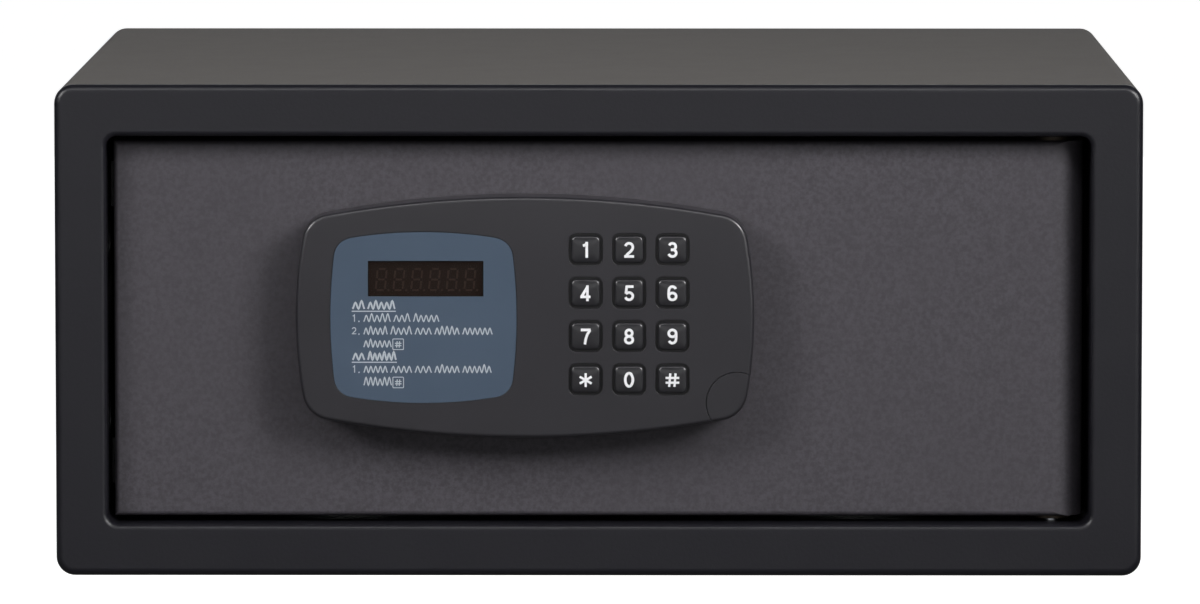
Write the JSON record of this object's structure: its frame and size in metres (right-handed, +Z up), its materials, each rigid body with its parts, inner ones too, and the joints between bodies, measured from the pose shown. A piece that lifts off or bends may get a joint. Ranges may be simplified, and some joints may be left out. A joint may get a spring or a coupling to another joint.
{
  "type": "in-room safe",
  "caption": "Low steel in-room safe with a recessed side-hinged door, bowed keypad panel, motorised bolts, key override and anchor holes.",
  "frame": {"origin": "middle of the bounding box's underside, on the surface the safe stands on", "axes": "+X to the right as seen from the front, the door faces -Y, +Z up"},
  "size_m": [0.43, 0.3796, 0.195],
  "materials": {
    "cabinet_paint": "matte powder coat",
    "frame_paint": "satin powder coat",
    "door_paint": "fine textured powder coat",
    "cover_paint": "matte powder coat",
    "carpet": "needle-punched carpet",
    "zinc_steel": "bright zinc plate",
    "yellow_zinc": "yellow zinc plate",
    "bolt_chrome": "polished",
    "bronze": "sintered bronze",
    "brass_plug": "turned brass",
    "black_rubber": "matte",
    "white_nylon": "natural nylon",
    "black_plastic": "moulded",
    "lid_plastic": "moulded, lightly grained",
    "panel_plastic": "moulded ABS, fine grain",
    "key_plastic": "satin moulded",
    "label_blue": "satin polycarbonate",
    "smoked_window": "smoked acrylic",
    "display_face": "moulded",
    "circuit_board": "solder mask",
    "battery_wrap": "printed sleeve",
    "grey_silicone": "silicone",
    "red_wire": "PVC",
    "grey_ribbon": "PVC"
  },
  "bodies": {
    "cabinet": {"cabinet_shell": "cabinet_paint", "front_frame": "frame_paint", "rear_panel": "cabinet_paint", "floor_mat": "carpet", "keeper_plate": "zinc_steel", "hinge_brackets": "frame_paint", "hinge_pins": "zinc_steel", "door_stops": "frame_paint", "stop_bumpers": "black_rubber"},
    "bolts": {"lock_bolts": "bolt_chrome", "bolt_carriage": "yellow_zinc", "bolt_nuts": "zinc_steel"},
    "pinion": {"drive_pinion": "white_nylon"},
    "battery_lid": {"battery_cover": "lid_plastic"},
    "cap": {"corner_cap": "panel_plastic"},
    "plug": {"override_plug": "brass_plug", "override_cam": "zinc_steel", "cam_screw": "zinc_steel"},
    "key_1": {"key_1": "key_plastic"},
    "key_2": {"key_2": "key_plastic"},
    "key_3": {"key_3": "key_plastic"},
    "key_4": {"key_4": "key_plastic"},
    "key_5": {"key_5": "key_plastic"},
    "key_6": {"key_6": "key_plastic"},
    "key_7": {"key_7": "key_plastic"},
    "key_8": {"key_8": "key_plastic"},
    "key_9": {"key_9": "key_plastic"},
    "key_star": {"key_star": "key_plastic"},
    "key_0": {"key_0": "key_plastic"},
    "key_hash": {"key_hash": "key_plastic"},
    "door": {"door_skin": "door_paint", "door_cover": "cover_paint", "cover_standoffs": "zinc_steel", "cover_screws": "zinc_steel", "hinge_bushes": "bronze", "mechanism_plate": "zinc_steel", "panel_screws": "zinc_steel", "guide_screws": "zinc_steel", "bolt_bushes": "white_nylon", "gear_housing": "black_plastic", "motor": "zinc_steel", "main_board": "circuit_board", "board_components": "black_plastic", "microswitches": "black_plastic", "battery_holder": "black_plastic", "batteries": "battery_wrap", "battery_contacts": "zinc_steel", "wiring_leads": "red_wire", "ribbon_cable": "grey_ribbon", "panel_housing": "panel_plastic", "panel_gasket": "black_rubber", "label_plate": "label_blue", "display_window": "smoked_window", "display_module": "display_face", "keypad_board": "circuit_board", "keypad_mat": "grey_silicone", "cap_pivot": "zinc_steel", "override_housing": "zinc_steel", "lock_nut": "zinc_steel"}
  },
  "joints": [
    {"name": "battery_cover_slide", "type": "slide", "parent": "door", "child": "battery_lid", "axis": [0, 1, 0], "range_m": [0, 0.012]},
    {"name": "bolt_slide", "type": "slide", "parent": "door", "child": "bolts", "axis": [-1, 0, 0], "range_m": [0, 0.014]},
    {"name": "cap_swivel", "type": "hinge", "parent": "door", "child": "cap", "pos_m": [0.0548, -0.18695, 0.0698], "axis": [0, -1, 0], "range_deg": [0, 155]},
    {"name": "door_hinge", "type": "hinge", "parent": "cabinet", "child": "door", "pos_m": [0.1801, -0.15825, 0.0975], "axis": [0, 0, 1], "range_deg": [0, 90]},
    {"name": "override_turn", "type": "hinge", "parent": "door", "child": "plug", "pos_m": [0.04956, -0.17025, 0.07444], "axis": [0, -1, 0], "range_deg": [-90, 0]},
    {"name": "pinion_turn", "type": "hinge", "parent": "door", "child": "pinion", "pos_m": [-0.06, -0.15275, 0.079], "axis": [0, -1, 0], "range_deg": [0, 90]},
    {"name": "key_1_press", "type": "slide", "parent": "door", "child": "key_1", "axis": [0, 1, 0], "range_m": [0, 0.0012], "stiffness_N_per_m": 800, "deforming": ["keypad_mat"]},
    {"name": "key_2_press", "type": "slide", "parent": "door", "child": "key_2", "axis": [0, 1, 0], "range_m": [0, 0.0012], "stiffness_N_per_m": 800, "deforming": ["keypad_mat"]},
    {"name": "key_3_press", "type": "slide", "parent": "door", "child": "key_3", "axis": [0, 1, 0], "range_m": [0, 0.0012], "stiffness_N_per_m": 800, "deforming": ["keypad_mat"]},
    {"name": "key_4_press", "type": "slide", "parent": "door", "child": "key_4", "axis": [0, 1, 0], "range_m": [0, 0.0012], "stiffness_N_per_m": 800, "deforming": ["keypad_mat"]},
    {"name": "key_5_press", "type": "slide", "parent": "door", "child": "key_5", "axis": [0, 1, 0], "range_m": [0, 0.0012], "stiffness_N_per_m": 800, "deforming": ["keypad_mat"]},
    {"name": "key_6_press", "type": "slide", "parent": "door", "child": "key_6", "axis": [0, 1, 0], "range_m": [0, 0.0012], "stiffness_N_per_m": 800, "deforming": ["keypad_mat"]},
    {"name": "key_7_press", "type": "slide", "parent": "door", "child": "key_7", "axis": [0, 1, 0], "range_m": [0, 0.0012], "stiffness_N_per_m": 800, "deforming": ["keypad_mat"]},
    {"name": "key_8_press", "type": "slide", "parent": "door", "child": "key_8", "axis": [0, 1, 0], "range_m": [0, 0.0012], "stiffness_N_per_m": 800, "deforming": ["keypad_mat"]},
    {"name": "key_9_press", "type": "slide", "parent": "door", "child": "key_9", "axis": [0, 1, 0], "range_m": [0, 0.0012], "stiffness_N_per_m": 800, "deforming": ["keypad_mat"]},
    {"name": "key_star_press", "type": "slide", "parent": "door", "child": "key_star", "axis": [0, 1, 0], "range_m": [0, 0.0012], "stiffness_N_per_m": 800, "deforming": ["keypad_mat"]},
    {"name": "key_0_press", "type": "slide", "parent": "door", "child": "key_0", "axis": [0, 1, 0], "range_m": [0, 0.0012], "stiffness_N_per_m": 800, "deforming": ["keypad_mat"]},
    {"name": "key_hash_press", "type": "slide", "parent": "door", "child": "key_hash", "axis": [0, 1, 0], "range_m": [0, 0.0012], "stiffness_N_per_m": 800, "deforming": ["keypad_mat"]}
  ],
  "couplings": [
    {"joint": "pinion_turn", "follows": "bolt_slide", "rad_per_m": 111.11}
  ]
}
